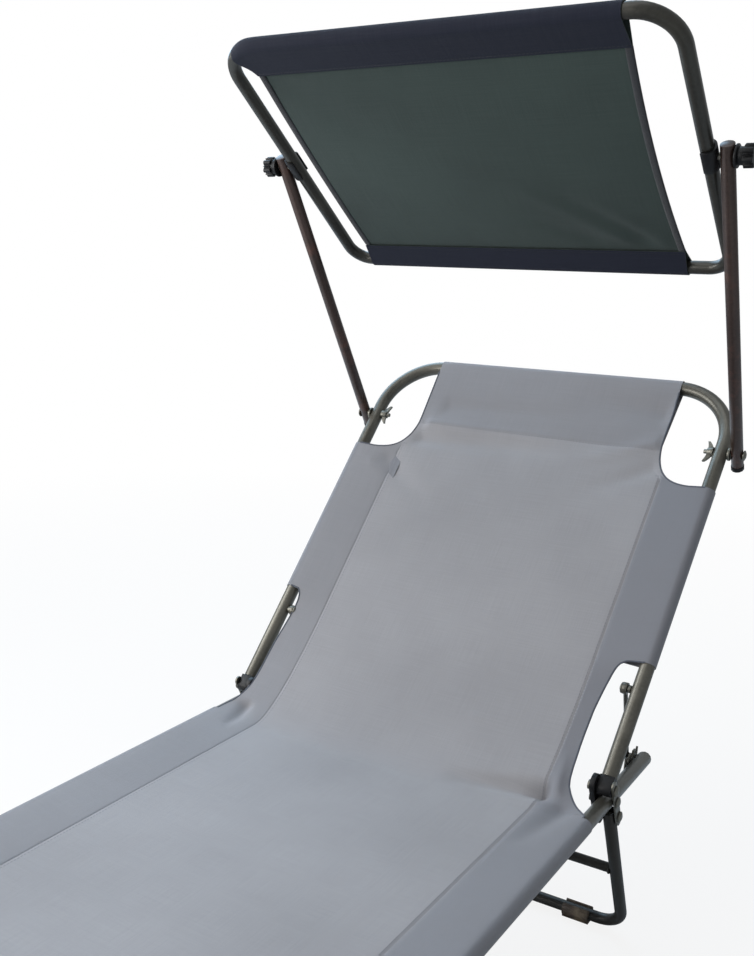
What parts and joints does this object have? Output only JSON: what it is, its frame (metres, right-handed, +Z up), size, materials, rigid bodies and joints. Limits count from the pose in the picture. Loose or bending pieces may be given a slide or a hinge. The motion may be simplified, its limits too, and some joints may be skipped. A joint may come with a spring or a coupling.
{
  "type": "sun lounger with canopy",
  "caption": "Folding sun lounger with a sling seat, a reclining backrest, folding legs and foot section, and a small tilting canopy on swinging arms.",
  "frame": {"origin": "bottom centre of the bounding box, on the ground", "axes": "+Z up, +Y from the foot end to the head end, +X to the side that is on the right seen from the foot end"},
  "size_m": [0.6396, 1.6887, 1.1093],
  "materials": {
    "steel_paint": "satin grey powder coat",
    "arm_paint": "satin dark brown-grey powder coat",
    "leg_paint": "satin dark grey powder coat",
    "zinc_steel": "dull zinc plate",
    "black_plastic": "matt moulded plastic",
    "pad_plastic": "matt moulded plastic",
    "sling_cloth": "woven outdoor cloth, grey",
    "canopy_cloth": "woven outdoor cloth, dark grey-green with navy hems"
  },
  "bodies": {
    "seat": {"seat_rail_left": "steel_paint", "seat_rail_right": "steel_paint", "rail_cap_left": "black_plastic", "rail_cap_right": "black_plastic", "hip_strap_left": "zinc_steel", "hip_strap_right": "zinc_steel", "hip_block_left": "black_plastic", "hip_block_right": "black_plastic", "hip_bolt_left": "zinc_steel", "hip_bolt_right": "zinc_steel", "rail_bolt_left": "zinc_steel", "rail_bolt_right": "zinc_steel", "rear_leg_bolt_left": "zinc_steel", "rear_leg_bolt_right": "zinc_steel", "stay_rack_left": "zinc_steel", "stay_rack_right": "zinc_steel", "knee_bracket_left": "steel_paint", "knee_bracket_right": "steel_paint", "knee_bolt_left": "zinc_steel", "knee_bolt_right": "zinc_steel", "front_leg_bolt_left": "zinc_steel", "front_leg_bolt_right": "zinc_steel", "seat_cross_tube": "steel_paint", "seat_fabric": "sling_cloth", "hip_fabric": "sling_cloth", "knee_fabric": "sling_cloth"},
    "backrest": {"backrest_frame": "steel_paint", "backrest_fabric": "sling_cloth", "backrest_eye_left": "black_plastic", "backrest_eye_right": "black_plastic", "stay_bolt_left": "zinc_steel", "stay_bolt_right": "zinc_steel", "arm_bolt_left": "zinc_steel", "arm_bolt_right": "zinc_steel"},
    "left_stay": {"stay_left": "steel_paint", "stay_knob_left": "black_plastic"},
    "right_stay": {"stay_right": "steel_paint", "stay_knob_right": "black_plastic"},
    "rear_leg": {"rear_leg_frame": "leg_paint", "rear_leg_pad_left": "pad_plastic", "rear_leg_pad_right": "pad_plastic"},
    "front_leg": {"front_leg_frame": "leg_paint", "front_leg_pad_left": "pad_plastic", "front_leg_pad_right": "pad_plastic"},
    "foot_section": {"foot_frame": "steel_paint", "foot_fabric": "sling_cloth"},
    "canopy_arms": {"canopy_arm_left": "arm_paint", "canopy_arm_right": "arm_paint", "arm_cap_left": "black_plastic", "arm_cap_right": "black_plastic"},
    "canopy": {"canopy_frame": "steel_paint", "canopy_joiner": "zinc_steel", "canopy_fabric": "canopy_cloth", "canopy_clamp_left": "black_plastic", "canopy_clamp_right": "black_plastic"},
    "left_canopy_knob": {"canopy_knob_left": "black_plastic"},
    "right_canopy_knob": {"canopy_knob_right": "black_plastic"},
    "left_wing_nut": {"wing_nut_left": "zinc_steel"},
    "right_wing_nut": {"wing_nut_right": "zinc_steel"}
  },
  "joints": [
    {"name": "recline", "type": "hinge", "parent": "seat", "child": "backrest", "pos_m": [0, 0.42308, 0.27984], "axis": [1, 0, 0], "range_deg": [-46, 84], "deforming": ["hip_fabric"]},
    {"name": "left_stay_swing", "type": "hinge", "parent": "backrest", "child": "left_stay", "pos_m": [0, 0.51338, 0.37335], "axis": [1, 0, 0], "range_deg": [-25, 90]},
    {"name": "right_stay_swing", "type": "hinge", "parent": "backrest", "child": "right_stay", "pos_m": [0, 0.51338, 0.37335], "axis": [1, 0, 0], "range_deg": [-25, 90]},
    {"name": "rear_leg_fold", "type": "hinge", "parent": "seat", "child": "rear_leg", "pos_m": [0, 0.44708, 0.23484], "axis": [1, 0, 0], "range_deg": [-113, 0]},
    {"name": "front_leg_fold", "type": "hinge", "parent": "seat", "child": "front_leg", "pos_m": [0, -0.17192, 0.23484], "axis": [1, 0, 0], "range_deg": [0, 113]},
    {"name": "foot_fold", "type": "hinge", "parent": "seat", "child": "foot_section", "pos_m": [0, -0.20192, 0.27824], "axis": [1, 0, 0], "range_deg": [-168, 0], "deforming": ["knee_fabric"]},
    {"name": "canopy_arm_swing", "type": "hinge", "parent": "backrest", "child": "canopy_arms", "pos_m": [0, 0.76346, 0.63231], "axis": [-1, 0, 0], "range_deg": [-60, 190]},
    {"name": "canopy_tilt", "type": "hinge", "parent": "canopy_arms", "child": "canopy", "pos_m": [0, 0.5446, 0.98256], "axis": [1, 0, 0], "continuous": true},
    {"name": "left_knob_turn", "type": "hinge", "parent": "canopy_arms", "child": "left_canopy_knob", "pos_m": [0, 0.5446, 0.98256], "axis": [1, 0, 0], "continuous": true},
    {"name": "right_knob_turn", "type": "hinge", "parent": "canopy_arms", "child": "right_canopy_knob", "pos_m": [0, 0.5446, 0.98256], "axis": [1, 0, 0], "continuous": true},
    {"name": "left_wing_nut_turn", "type": "hinge", "parent": "backrest", "child": "left_wing_nut", "pos_m": [0, 0.76346, 0.63231], "axis": [1, 0, 0], "continuous": true},
    {"name": "right_wing_nut_turn", "type": "hinge", "parent": "backrest", "child": "right_wing_nut", "pos_m": [0, 0.76346, 0.63231], "axis": [1, 0, 0], "continuous": true}
  ]
}
